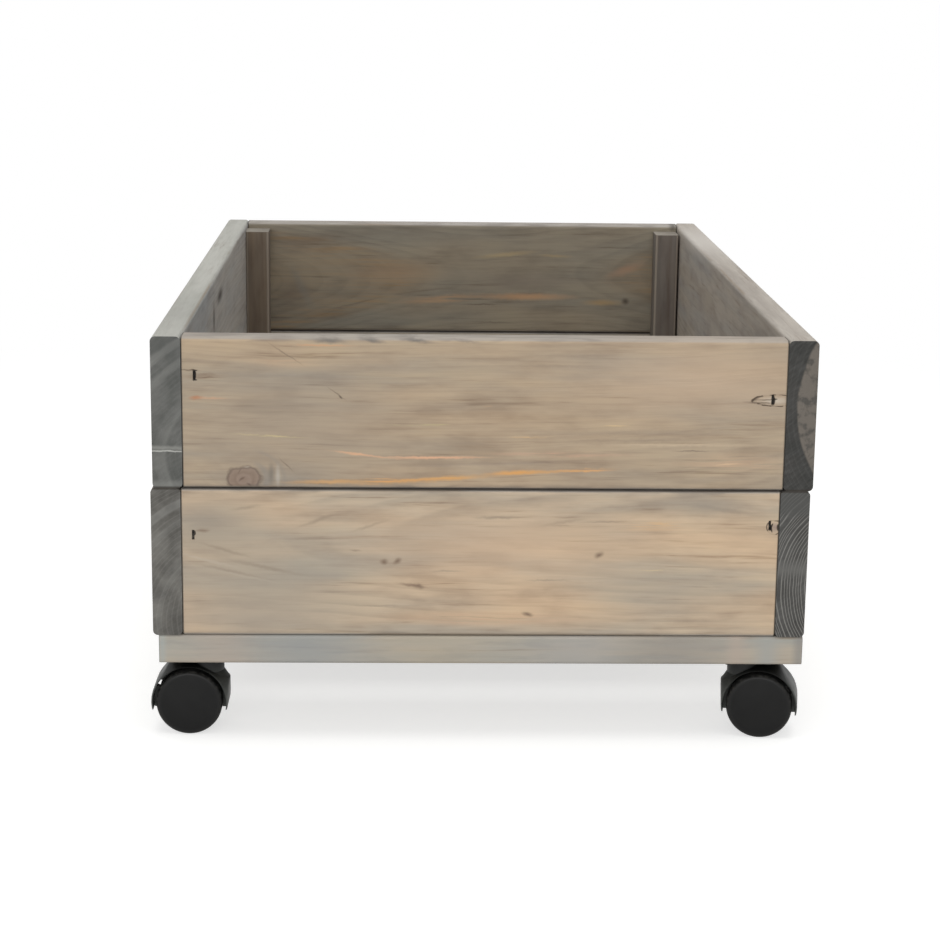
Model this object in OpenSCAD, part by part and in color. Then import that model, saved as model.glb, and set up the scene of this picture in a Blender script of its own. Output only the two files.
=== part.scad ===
// Rolling planter: an open box two boards high, on cross slats and four twin-wheel castors.
// Millimetres. +X is right, +Y is back, +Z is up.
// The origin lies on the floor, under the middle of the box.

/* [Box] */
// Length of the box, front to back
box_length = 600; // [450:1:1000]
// Width of the box, over its side boards
box_width = 400; // [300:1:700]
// Thickness of every box board
board_thick = 18; // [15:0.5:25]
// Height of one box board
board_height = 92.5; // [75:0.5:140]
// Radius of the eased long edges of the box boards
edge_radius = 3; // [1:0.1:4]
// Sideways step between the lower and the upper ring of boards
ring_step = 1.4; // [0:0.1:3]
// Open joint at each end of an end board
butt_gap = 0.3; // [0.1:0.1:1]

/* [Corner battens] */
// Width of a batten across the box
batten_width = 19; // [15:0.5:30]
// Depth of a batten along the box
batten_depth = 25; // [20:0.5:40]
// How far a batten ends below the rim
batten_drop = 5; // [1:0.5:20]
// Radius of a batten's eased edges
batten_edge_radius = 1.5; // [0.5:0.1:3]

/* [Base slats] */
// Thickness of a slat
slat_thick = 18; // [15:0.5:25]
// Radius of a slat's eased long edges
slat_edge_radius = 2; // [1:0.1:4]
// Open gap between two slats, where water drains
slat_gap = 9; // [5:0.5:20]
// How far a slat's end stands in from the side of the box
slat_inset = 2; // [0:0.5:5]
// Sideways step between the lower ring of boards and the slats
slat_step = 1.4; // [0:0.1:3]

/* [Staples] */
// Length of a staple's crown
staple_crown = 5.8; // [4:0.1:8]
// Length of a staple's legs
staple_leg = 30; // [25:1:35]
// Width of the staple wire
wire_width = 1.25; // [0.8:0.05:1.6]
// Thickness of the staple wire
wire_thick = 1.05; // [0.6:0.05:1.4]
// How deep a crown is driven below the surface
staple_sink = 1.2; // [0.5:0.1:3]
// Play round a staple in its hole
staple_play = 0.05; // [0.02:0.01:0.1]
// Distance from a slat's long edge to its staples
slat_staple_inset = 16; // [10:0.5:30]
// Distance between the staples that join an end slat to an end board
end_slat_staple_pitch = 90; // [40:1:110]

/* [Castor placing] */
// Mean distance from the side of the box to a swivel axis
castor_side_inset = 31; // [28:0.5:45]
// Mean distance from the front or back of the box to a swivel axis
castor_end_inset = 26; // [24:0.5:50]
// How much nearer the sides the front left and back right castors stand than the other two
castor_side_scatter = 3.4; // [0:0.2:6]
// How much further from the front or back the same two castors stand
castor_end_scatter = 3; // [0:0.2:6]
// How far the front right castor is turned away from pointing straight outwards
front_right_turn = -10; // [-180:1:180]

/* [Castor plate and kingpin] */
// Side of the square mounting plate
plate_side = 34; // [32:0.5:48]
// Thickness of the mounting plate
plate_thick = 1.5; // [1.5:0.1:3]
// Corner radius of the mounting plate
plate_corner = 4; // [2:0.5:8]
// Distance from the plate's edge to the centre of a screw hole
hole_margin = 5; // [4:0.5:6]
// Diameter of a screw hole in the plate
hole_d = 4.6; // [4:0.1:5.5]
// Diameter of the thrust boss pressed into the plate
thrust_d = 18; // [14:0.5:20]
// Height of the thrust boss
thrust_height = 0.6; // [0.3:0.1:1]
// Diameter of the kingpin
kingpin_d = 6; // [5:0.1:8]
// Wall of the hood's socket round the kingpin
socket_wall = 1.75; // [1.2:0.05:2.5]
// Length of the kingpin below the plate
kingpin_length = 19; // [15:0.5:20]
// Running clearance round a turning shaft, on the radius
running_clearance = 0.05; // [0.02:0.01:0.1]
// Clearance of a fixed fit, on the radius
fixed_clearance = 0.02; // [0.01:0.01:0.05]
// Height of the snap ring
ring_height = 1; // [0.6:0.1:1.4]
// Radial width of the snap ring
ring_width = 1.2; // [0.8:0.1:1.4]
// Depth of the snap ring's groove in the kingpin
groove_depth = 0.55; // [0.3:0.05:0.8]

/* [Castor hood] */
// Height of the castor above its wheels, up to the slats
castor_head = 9.5; // [9:0.5:14]
// Distance from the swivel axis to the wheels' axle
trail = 10; // [9:0.5:14]
// Wall of the hood over the treads
hood_wall = 0.9; // [0.8:0.1:2.5]
// How far each wheel's face stands out of the hood
face_proud = 1; // [0.5:0.1:3]
// Radial room between tread and hood
hood_room = 2.4; // [1.5:0.1:3.5]
// How far the hood's lips reach below the axle
lip_drop = 4.6; // [2:0.1:8]
// Thickness of the web between the wheels
web_thick = 5.5; // [4:0.1:6]
// How far the web reaches below the axle
web_drop = 6.2; // [1:0.1:8]
// Length of the slot in the web behind the treads
web_slot = 5; // [3:0.5:7]
// Angle of that slot above the axle
web_slot_angle = 25; // [15:1:40]
// Diameter of the tower round the kingpin
tower_d = 22; // [19:0.5:24]
// Diameter of the shoulder under the tower
shoulder_d = 29.4; // [26:0.2:32]
// Height of the shoulder's edge above the axle
shoulder_rise = 12.8; // [10:0.1:15]
// Height of the neck that tapers from the shoulder to the tower
neck_height = 5.4; // [3:0.1:8]
// Radius of the crown behind the tower
crown_r = 9; // [7:0.5:11]
// How far the crown reaches back from the swivel axis
crown_back = 22.5; // [18:0.5:23]

/* [Castor wheels] */
// Diameter of a wheel
wheel_d = 41; // [36:0.5:50]
// Width of a wheel's tread
tread_width = 11; // [9:0.1:14]
// Rounding of a wheel's outer edge
wheel_edge = 2.5; // [1:0.1:4]
// How far the wheel's face is crowned
face_crown = 0.8; // [0.3:0.1:1.5]
// Diameter of the axle pin
axle_d = 5; // [4:0.1:6]
// Side clearance between a wheel's hub and the web
hub_side_clearance = 0.3; // [0.1:0.05:0.8]

/* [Castor screws] */
// Diameter of a castor screw's shank
screw_d = 3.5; // [3:0.1:4]
// Length of a castor screw below its head
screw_length = 14; // [10:0.5:16]
// Diameter of a castor screw's head
screw_head_d = 7; // [6:0.1:8]
// Height of a castor screw's head
screw_head_height = 1.8; // [1.4:0.1:1.9]

/* [Hidden] */
$fn = 96;
facets = 40; // corners of a round that is hulled
eps = 0.01;
overrun = 1; // how far a cut runs past what it cuts

slat_count = 6;
slat_length = box_width - 2 * slat_inset;
slat_width = (box_length - (slat_count - 1) * slat_gap) / slat_count;
slat_under = wheel_d + castor_head;
slat_top = slat_under + slat_thick;
rim = slat_top + 2 * board_height;

// The battens stand against the tighter side of the two stepped rings.
batten_outer = box_width / 2 - board_thick - ring_step / 2;
batten_y = box_length / 2 - board_thick - batten_depth / 2;

LOWER = 0;
UPPER = 1;
LEFT = -1;
RIGHT = 1;
FRONT = -1;
BACK = 1;

// Staples are driven by hand, so none stands quite level with the next.
// Drop below the board's top edge: [front, back][lower, upper][left, right]
end_staple_drops = [[[29, 21.5], [23.5, 36]], [[26, 32], [30, 24]]];
// Distance from the batten's outer face, in the same order
end_staple_insets = [[[6, 6], [8, 7.5]], [[7, 6], [6.5, 8]]];
side_staple_drops = [[[62, 58], [60, 64]], [[59, 63], [65, 61]]];
staple_tip = 2;
slot_play = 0.3;

castor_names = ["front_left", "front_right", "back_left", "back_right"];
castor_parts = ["castor_plate", "kingpin", "snap_ring", "castor_hood", "axle_pin", "outer_wheel",
                "inner_wheel"];
castors = [0, 1, 2, 3];

castor_height = slat_under;
wheel_r = wheel_d / 2;
pocket_r = wheel_r + hood_room;
hood_r = pocket_r + hood_wall;
plate_under = castor_height - plate_thick;
screw_under = plate_under - screw_head_height;
hole_pitch = plate_side - 2 * hole_margin;

// Heights round the kingpin
thrust_gap = 0.2;
groove_drop = 4;
kingpin_chamfer = 0.8;
socket_play = 0.5;
socket_base = 1;
ring_room = 0.3;
thrust_under = plate_under - thrust_height;
tower_top = thrust_under - thrust_gap;
kingpin_end = plate_under - kingpin_length;
socket_floor = kingpin_end - socket_play;
socket_end = socket_floor - socket_base;
kingpin_r = kingpin_d / 2;
socket_r = kingpin_r + running_clearance + socket_wall;
groove_z = tower_top - groove_drop;
groove_r = kingpin_r - groove_depth;
ring_play = 0.1;
ring_split = 1.4;
rivet_spread = 1.3;
rivet_depth = 1.4;
rivet_r = kingpin_r + rivet_spread;

// Outline of the hood
shoulder_height = 4;
neck_ledge = 0.2;
crown_height = 8;
crown_edge = 2.5;
drum_edge = 2.2;
screw_room = 0.5;
shoulder_z = wheel_r + shoulder_rise;
crown_x = crown_back - crown_r;
crown_top = screw_under - screw_room;

// Widths along the axle, from the middle of the castor outwards
hub_wall = 3.5;
boss_wall = 4;
socket_side_gap = 0.2;
face_wall = 2;
axle_end_gap = 0.2;
axle_chamfer = 0.4;
snap_depth = 0.3;
snap_inset = 0.8;
snap_width = 1;
ridge_play = 0.2;
axle_r = axle_d / 2;
hub_r = axle_r + hub_wall;
boss_r = axle_r + boss_wall;
hub_start = web_thick / 2 + hub_side_clearance;
tread_start = socket_r + socket_side_gap;
castor_width = 2 * (tread_start + tread_width);
wheel_face = castor_width / 2;
hood_width = castor_width - 2 * face_proud;
bore_end = wheel_face - face_wall;
axle_end = bore_end - axle_end_gap;
snap_end = axle_end - snap_inset;
snap_start = snap_end - snap_width;

// Face and inside of a wheel
gate_flat = 0.02; // ground off the middle of the face, where the mould was filled
rim_wall = 3.2;
disc_wall = 2.6;
rib_count = 6;
rib_thick = 1.6;
rib_inset = 1;

// Castor screws
screw_taper = 3;
screw_point_r = 0.3;
head_chamfer = 1;
head_edge = 0.8;
cross_length = 3.6;
cross_width = 0.8;
cross_depth = 1.1;

function at(list, direction) = list[direction < 0 ? 0 : 1];
function ring_x(ring) = (ring == UPPER ? 1 : -1) * ring_step / 2;
function board_top(ring) = slat_top + (ring + 1) * board_height;
function slat_y(i) = -box_length / 2 + slat_width / 2 + (i - 1) * (slat_width + slat_gap);
function castor_side(i) = i % 2 == 0 ? LEFT : RIGHT;
function castor_end(i) = i < 2 ? FRONT : BACK;
function castor_step(i) = (castor_side(i) == castor_end(i) ? 1 : -1) / 2;
function castor_x(i) =
    castor_side(i) * (box_width / 2 - castor_side_inset + castor_step(i) * castor_side_scatter);
function castor_y(i) =
    castor_end(i) * (box_length / 2 - castor_end_inset - castor_step(i) * castor_end_scatter);
function castor_turn(i) = castor_names[i] == "front_right" ? front_right_turn : 0;

// ---------- Shared shapes ----------

// Rectangle with rounded corners, centred on the origin
module eased_rectangle(across, up, radius) {
    difference() {
        square([across, up], center = true);
        for (sx = [-1, 1], sy = [-1, 1])
            translate([sx * (across / 2 - radius), sy * (up / 2 - radius)])
                difference() {
                    translate([sx * radius, sy * radius]) square(2 * radius, center = true);
                    circle(radius);
                }
    }
}

module board_along_x(length, thick, height, radius)
    rotate([90, 0, 90])
        linear_extrude(length, center = true) eased_rectangle(thick, height, radius);

module board_along_y(length, thick, height)
    rotate([90, 0, 0])
        linear_extrude(length, center = true) eased_rectangle(thick, height, edge_radius);

// ---------- Staples ----------

// One staple on the outer face of a board: its legs run along +Y and its crown stands upright
module staple() {
    translate([-wire_width / 2, staple_sink, -staple_crown / 2])
        cube([wire_width, wire_thick, staple_crown]);
    for (s = [-1, 1])
        translate([0, staple_sink, s * (staple_crown - wire_thick) / 2])
            rotate([0, 90, 0])
                linear_extrude(wire_width, center = true)
                    polygon([[-wire_thick / 2, 0], [wire_thick / 2, 0],
                             [wire_thick / 2, staple_leg - staple_tip], [0, staple_leg],
                             [-wire_thick / 2, staple_leg - staple_tip]]);
}

// The slot that a driven staple leaves, and the holes of its legs
module staple_hole() {
    slot_width = wire_width + slot_play;
    slot_length = staple_crown + slot_play;
    leg_width = wire_width + 2 * staple_play;
    leg_thick = wire_thick + 2 * staple_play;
    translate([-slot_width / 2, -overrun, -slot_length / 2])
        cube([slot_width, overrun + staple_sink + wire_thick, slot_length]);
    for (s = [-1, 1])
        translate([0, 0, s * (staple_crown - wire_thick) / 2])
            translate([-leg_width / 2, staple_sink, -leg_thick / 2])
                cube([leg_width, staple_leg + 2 * staple_play, leg_thick]);
}

module at_end_staple(end, ring, side)
    translate([side * (batten_outer - at(at(end_staple_insets, end)[ring], side)),
               end * box_length / 2,
               board_top(ring) - at(at(end_staple_drops, end)[ring], side)])
        rotate([0, 0, end == FRONT ? 0 : 180]) children();

module at_side_staple(end, ring, side)
    translate([ring_x(ring) + side * box_width / 2,
               end * batten_y,
               board_top(ring) - at(at(side_staple_drops, end)[ring], side)])
        rotate([0, 0, side * 90]) children();

// Staples through slat number i into the side board over its end
module at_slat_staples(i, side)
    for (s = [-1, 1])
        translate([ring_x(LOWER) + side * (box_width - board_thick) / 2,
                   slat_y(i) + s * (slat_width / 2 - slat_staple_inset),
                   slat_under])
            rotate([90, 0, 0]) children();

// Staples through the first or last slat into the end board over it
module at_end_slat_staples(end)
    for (s = [-1 : 1])
        translate([s * end_slat_staple_pitch, end * (box_length - board_thick) / 2, slat_under])
            rotate([90, 0, 90]) children();

module end_board_staples()
    color("dimgray")
        for (end = [FRONT, BACK], ring = [LOWER, UPPER], side = [LEFT, RIGHT])
            at_end_staple(end, ring, side) staple();

module side_board_staples()
    color("dimgray")
        for (end = [FRONT, BACK], ring = [LOWER, UPPER], side = [LEFT, RIGHT])
            at_side_staple(end, ring, side) staple();

module slat_staples()
    color("dimgray") {
        for (i = [1 : slat_count], side = [LEFT, RIGHT]) at_slat_staples(i, side) staple();
        for (end = [FRONT, BACK]) at_end_slat_staples(end) staple();
    }

// ---------- Boards ----------

module side_board(side, ring)
    color("#8d8980")
        difference() {
            translate([ring_x(ring) + side * (box_width - board_thick) / 2, 0,
                       board_top(ring) - board_height / 2])
                board_along_y(box_length, board_thick, board_height);
            for (end = [FRONT, BACK]) at_side_staple(end, ring, side) staple_hole();
            if (ring == LOWER)
                for (i = [1 : slat_count]) at_slat_staples(i, side) staple_hole();
        }

module end_board(end, ring)
    color("#b5a48c")
        difference() {
            translate([ring_x(ring), end * (box_length - board_thick) / 2,
                       board_top(ring) - board_height / 2])
                board_along_x(box_width - 2 * (board_thick + butt_gap), board_thick, board_height,
                              edge_radius);
            for (side = [LEFT, RIGHT]) at_end_staple(end, ring, side) staple_hole();
            if (ring == LOWER) at_end_slat_staples(end) staple_hole();
        }

module batten(end, side)
    color("#7d6e5d")
        difference() {
            translate([side * (batten_outer - batten_width / 2), end * batten_y, slat_top])
                linear_extrude(rim - batten_drop - slat_top)
                    eased_rectangle(batten_width, batten_depth, batten_edge_radius);
            for (ring = [LOWER, UPPER]) {
                at_end_staple(end, ring, side) staple_hole();
                at_side_staple(end, ring, side) staple_hole();
            }
        }

module base_slat(i)
    color("#a39b8e")
        difference() {
            translate([ring_x(LOWER) + slat_step, slat_y(i), slat_under + slat_thick / 2])
                board_along_x(slat_length, slat_width, slat_thick, slat_edge_radius);
            for (side = [LEFT, RIGHT]) at_slat_staples(i, side) staple_hole();
            if (i == 1) at_end_slat_staples(FRONT) staple_hole();
            if (i == slat_count) at_end_slat_staples(BACK) staple_hole();
            for (c = castors)
                if (castor_end(c) == FRONT ? i == 1 : i == slat_count)
                    at_castor(c) at_plate_holes() screw_hole();
        }

// ---------- Castors ----------

// A castor is drawn about its swivel axis, with its wheels trailing towards -X
module at_castor(i)
    translate([castor_x(i), castor_y(i), 0])
        rotate([0, 0, castor_side(i) == LEFT ? 0 : 180]) children();

module at_swivel(i)
    at_castor(i) rotate([0, 0, castor_turn(i)]) children();

module at_plate_holes()
    for (sx = [-1, 1], sy = [-1, 1])
        translate([sx * hole_pitch / 2, sy * hole_pitch / 2, 0]) children();

// Turns what is drawn along +Z to run from the swivel plane out to one wheel
module at_axle(direction)
    translate([-trail, 0, wheel_r]) rotate([-direction * 90, 0, 0]) children();

module castor_plate()
    color("silver")
        difference() {
            union() {
                translate([0, 0, plate_under])
                    linear_extrude(plate_thick) eased_rectangle(plate_side, plate_side, plate_corner);
                translate([0, 0, thrust_under]) cylinder(d = thrust_d, h = thrust_height + plate_thick / 2);
            }
            at_plate_holes()
                translate([0, 0, plate_under - overrun]) cylinder(d = hole_d, h = plate_thick + 2 * overrun);
            translate([0, 0, thrust_under - overrun])
                cylinder(r = kingpin_r + fixed_clearance, h = castor_height);
            translate([0, 0, castor_height - rivet_depth])
                cylinder(r1 = kingpin_r + fixed_clearance, r2 = rivet_r + fixed_clearance,
                         h = rivet_depth + eps);
        }

// Kingpin: riveted flush into the plate, grooved for its snap ring, chamfered at its tail
module kingpin()
    color("gray")
        rotate_extrude()
            polygon([[0, kingpin_end], [kingpin_r - kingpin_chamfer, kingpin_end],
                     [kingpin_r, kingpin_end + kingpin_chamfer],
                     [kingpin_r, groove_z], [groove_r, groove_z],
                     [groove_r, groove_z + ring_height + ring_play],
                     [kingpin_r, groove_z + ring_height + ring_play],
                     [kingpin_r, castor_height - rivet_depth], [rivet_r, castor_height - eps],
                     [0, castor_height - eps]]);

// Split ring that snaps into the kingpin's groove and holds the hood on it
module snap_ring()
    color("gray")
        translate([0, 0, groove_z + ring_play / 2])
            difference() {
                cylinder(r = groove_r + fixed_clearance + ring_width, h = ring_height);
                translate([0, 0, -overrun])
                    cylinder(r = groove_r + fixed_clearance, h = ring_height + 2 * overrun);
                translate([0, -ring_split / 2, -overrun])
                    cube([kingpin_d, ring_split, ring_height + 2 * overrun]);
            }

// Disc with rounded rims, for hulls; its axis is +Z and its middle is the origin
module soft_disc(radius, height, round)
    rotate_extrude($fn = facets)
        hull() {
            square([radius - round, height / 2]);
            translate([0, -height / 2]) square([radius - round, height / 2]);
            for (s = [-1, 1])
                translate([radius - round, s * (height / 2 - round)]) circle(round, $fn = 16);
        }

// Outer skin: a drum over both treads, drawn up to a crown behind the tower and a shoulder under it
module hood_skin()
    hull() {
        translate([-trail, 0, wheel_r]) rotate([90, 0, 0]) soft_disc(hood_r, hood_width, drum_edge);
        translate([-crown_x, 0, crown_top - crown_height / 2])
            soft_disc(crown_r, crown_height, crown_edge);
        translate([0, 0, shoulder_z - shoulder_height])
            cylinder(d = shoulder_d, h = shoulder_height, $fn = facets);
    }

// Neck and tower: tapered up from the shoulder, then straight up to the thrust boss
module tower() {
    translate([0, 0, shoulder_z - overrun]) cylinder(d = tower_d, h = tower_top - shoulder_z + overrun);
    translate([0, 0, shoulder_z - neck_ledge])
        cylinder(d1 = shoulder_d - 2 * neck_ledge, d2 = tower_d, h = neck_height + neck_ledge);
}

// Web between the wheels: cut off straight below the axle and slotted behind the treads
module web()
    linear_extrude(web_thick, center = true)
        difference() {
            intersection() {
                circle(pocket_r + hood_wall / 2);
                translate([-wheel_d, -web_drop]) square([2 * wheel_d, wheel_d]);
            }
            rotate(-web_slot_angle)
                translate([-wheel_d, -web_slot / 2]) square([wheel_d - wheel_r + overrun, web_slot]);
        }

// Moulded hood: skin, tower, web with the axle's boss, and the kingpin's socket
module castor_hood()
    color("#33332f")
        difference() {
            union() {
                difference() {
                    union() {
                        hood_skin();
                        tower();
                    }
                    // Room for both wheels, open at the sides and below the lips
                    translate([-trail, 0, wheel_r])
                        rotate([90, 0, 0]) cylinder(r = pocket_r, h = 2 * castor_width, center = true);
                    translate([-castor_width * 2, -castor_width, -wheel_r - lip_drop])
                        cube([castor_width * 4, castor_width * 2, 2 * wheel_r]);
                }
                translate([-trail, 0, wheel_r])
                    rotate([90, 0, 0]) {
                        web();
                        cylinder(r = boss_r, h = web_thick, center = true);
                    }
                translate([0, 0, socket_end])
                    cylinder(r = socket_r, h = groove_z - socket_end);
            }
            translate([0, 0, socket_floor])
                cylinder(r = kingpin_r + running_clearance, h = castor_height);
            translate([0, 0, groove_z - ring_play])
                cylinder(r = groove_r + ring_width + ring_room, h = ring_height + 3 * ring_play);
            translate([-trail, 0, wheel_r])
                rotate([90, 0, 0])
                    cylinder(r = axle_r + fixed_clearance, h = 2 * castor_width, center = true);
        }

// Axle pin: pressed through the web, with a groove near each end that a wheel snaps onto
module axle_pin()
    color("gray")
        for (direction = [-1, 1])
            at_axle(direction)
                rotate_extrude()
                    polygon([[0, -eps], [axle_r, -eps], [axle_r, snap_start],
                             [axle_r - snap_depth, snap_start], [axle_r - snap_depth, snap_end],
                             [axle_r, snap_end], [axle_r - axle_chamfer, axle_end], [0, axle_end]]);

// Section of one wheel: [radius, distance from the middle of the castor]
module wheel_section() {
    crown_r = (pow(wheel_r - wheel_edge, 2) + pow(face_crown, 2)) / (2 * face_crown);
    rim_inside = wheel_r - rim_wall;
    edge_y = wheel_face - face_crown - wheel_edge;
    inside = hub_start - overrun;
    difference() {
        intersection() {
            union() {
                translate([0, hub_start])
                    square([wheel_r - wheel_edge, wheel_face - gate_flat - hub_start]);
                translate([0, hub_start]) square([wheel_r, edge_y - hub_start]);
                translate([wheel_r - wheel_edge, edge_y]) circle(wheel_edge);
            }
            translate([0, wheel_face - crown_r]) circle(crown_r, $fn = 720);
        }
        // Open inner side, round the hub boss
        translate([hub_r, inside])
            square([rim_inside - hub_r, wheel_face - face_crown - disc_wall - inside]);
        translate([rim_inside - eps, inside]) square([wheel_r, tread_start - inside]);
        // Blind bore, with the ridge that snaps into the axle pin's groove
        translate([0, inside])
            square([axle_r + running_clearance, snap_start + ridge_play - inside]);
        translate([0, inside]) square([axle_r - snap_depth + ridge_play / 2, bore_end - inside]);
        translate([0, snap_end - ridge_play])
            square([axle_r + running_clearance, bore_end - snap_end + ridge_play]);
    }
}

module wheel(direction)
    color("#262626")
        at_axle(direction) {
            rotate_extrude() wheel_section();
            // Ribs between the hub boss and the rim
            for (i = [0 : rib_count - 1])
                rotate([0, 0, i * 360 / rib_count])
                    translate([hub_r - overrun / 2, -rib_thick / 2, tread_start + rib_inset])
                        cube([wheel_r - rim_wall - hub_r + overrun, rib_thick,
                              wheel_face - face_crown - disc_wall - tread_start]);
        }

// The outer wheel is the one nearer the front or back of the box
function outer_direction(i) = castor_end(i) * -castor_side(i);

// Pan-head screw, drawn pointing up with its head under the plate
module screw_body(shank_d, head)
    rotate_extrude()
        polygon(concat(
            head ? [[0, -screw_head_height], [screw_head_d / 2 - head_chamfer, -screw_head_height],
                    [screw_head_d / 2, -screw_head_height + head_edge], [screw_head_d / 2, -eps],
                    [shank_d / 2, -eps]]
                 : [[0, -eps], [shank_d / 2, -eps]],
            [[shank_d / 2, screw_length - screw_taper], [screw_point_r, screw_length],
             [0, screw_length]]));

module castor_screw()
    translate([0, 0, plate_under])
        difference() {
            screw_body(screw_d, true);
            for (a = [0, 90])
                rotate([0, 0, a])
                    translate([0, 0, -screw_head_height])
                        cube([cross_length, cross_width, 2 * cross_depth], center = true);
        }

module screw_hole()
    translate([0, 0, plate_under]) screw_body(screw_d + 2 * fixed_clearance, false);

module castor_screws()
    color("silver")
        for (i = castors) at_castor(i) at_plate_holes() castor_screw();

// ---------- Nodes ----------

for (ring = [LOWER, UPPER], side = [LEFT, RIGHT]) {
    name = str(ring == LOWER ? "lower" : "upper", side == LEFT ? "_left" : "_right", "_side_board");
    side_board(side, ring);
}
for (ring = [LOWER, UPPER], end = [FRONT, BACK]) {
    name = str(ring == LOWER ? "lower" : "upper", end == FRONT ? "_front" : "_back", "_end_board");
    end_board(end, ring);
}
for (end = [FRONT, BACK], side = [LEFT, RIGHT]) {
    name = str(end == FRONT ? "front" : "back", side == LEFT ? "_left" : "_right", "_batten");
    batten(end, side);
}
for (i = [1 : slat_count]) base_slat(i);

end_board_staples();
side_board_staples();
slat_staples();
castor_screws();

for (i = castors) {
    name = castor_names[i];
    at_castor(i) castor_plate();
    at_castor(i) kingpin();
    at_castor(i) snap_ring();
    at_swivel(i) castor_hood();
    at_swivel(i) axle_pin();
    at_swivel(i) wheel(outer_direction(i));
    at_swivel(i) wheel(-outer_direction(i));
}
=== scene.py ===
import math

import bmesh
import bpy
from mathutils import Euler, Matrix, Vector


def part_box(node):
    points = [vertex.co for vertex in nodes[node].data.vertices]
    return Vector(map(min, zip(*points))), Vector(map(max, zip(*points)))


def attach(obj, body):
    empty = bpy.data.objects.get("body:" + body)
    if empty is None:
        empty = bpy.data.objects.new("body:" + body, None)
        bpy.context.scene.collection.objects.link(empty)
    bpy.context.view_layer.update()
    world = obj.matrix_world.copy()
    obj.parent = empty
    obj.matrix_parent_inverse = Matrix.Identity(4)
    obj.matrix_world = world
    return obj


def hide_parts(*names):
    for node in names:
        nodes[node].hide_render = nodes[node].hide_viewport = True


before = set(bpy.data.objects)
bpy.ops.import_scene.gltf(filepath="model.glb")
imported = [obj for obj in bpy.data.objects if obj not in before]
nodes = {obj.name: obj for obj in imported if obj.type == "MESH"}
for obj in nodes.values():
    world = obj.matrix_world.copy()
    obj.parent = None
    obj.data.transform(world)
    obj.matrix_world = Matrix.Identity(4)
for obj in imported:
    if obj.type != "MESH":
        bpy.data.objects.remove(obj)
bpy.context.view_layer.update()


# ---------- End boards ----------
# Two planed spruce-pine boards stand one above the other at each end of the box, butted
# between the side boards. A thin grey wash has sunk into the soft earlywood, and the resin
# streaks and the worn arrises stay warm.


def linear(colour):
    """An sRGB hex colour as linear RGBA."""
    parts = [int(colour[i : i + 2], 16) / 255 for i in (1, 3, 5)]
    return [p / 12.92 if p <= 0.04045 else ((p + 0.055) / 1.055) ** 2.4 for p in parts] + [1]


def feed(tree, node, links):
    """Sets a node's inputs, by name or number, to values or to the nodes that feed them."""
    for key, value in links.items():
        socket = node.inputs[key] if isinstance(key, int) else next(
            s for s in node.inputs if s.name == key and s.enabled)
        if isinstance(value, bpy.types.Node):
            value = next(s for s in value.outputs if s.enabled)
        if isinstance(value, bpy.types.NodeSocket):
            tree.links.new(value, socket)
        else:
            socket.default_value = linear(value) if isinstance(value, str) else value


def add(tree, kind, links=None, stops=None, **settings):
    """Adds a node with its settings and inputs. stops are the places on a colour ramp, each with
    its hex colour or its grey value."""
    node = tree.nodes.new("ShaderNode" + kind)
    for name, value in settings.items():
        setattr(node, name, value)
    feed(tree, node, links or {})
    if stops:
        ramp = node.color_ramp.elements
        while len(ramp) < len(stops):
            ramp.new(0.5)
        for element, (position, value) in zip(ramp, stops):
            element.position = position
            element.color = linear(value) if isinstance(value, str) else (value,) * 3 + (1,)
    return node


def start_material(name):
    """A new material, its node tree, and the object coordinates that its patterns read."""
    material = bpy.data.materials.new(name)
    material.use_nodes = True
    tree = material.node_tree
    return material, tree, add(tree, "TexCoord").outputs["Object"]


WANDER = 0.011  # how far the pith wanders to and fro, in metres
WAVER = 0.0018  # how far the outline of a mark wavers, in metres
BIG_KNOT = 0.007  # radius from which the wash gathers in arcs beside a knot, in metres


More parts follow.
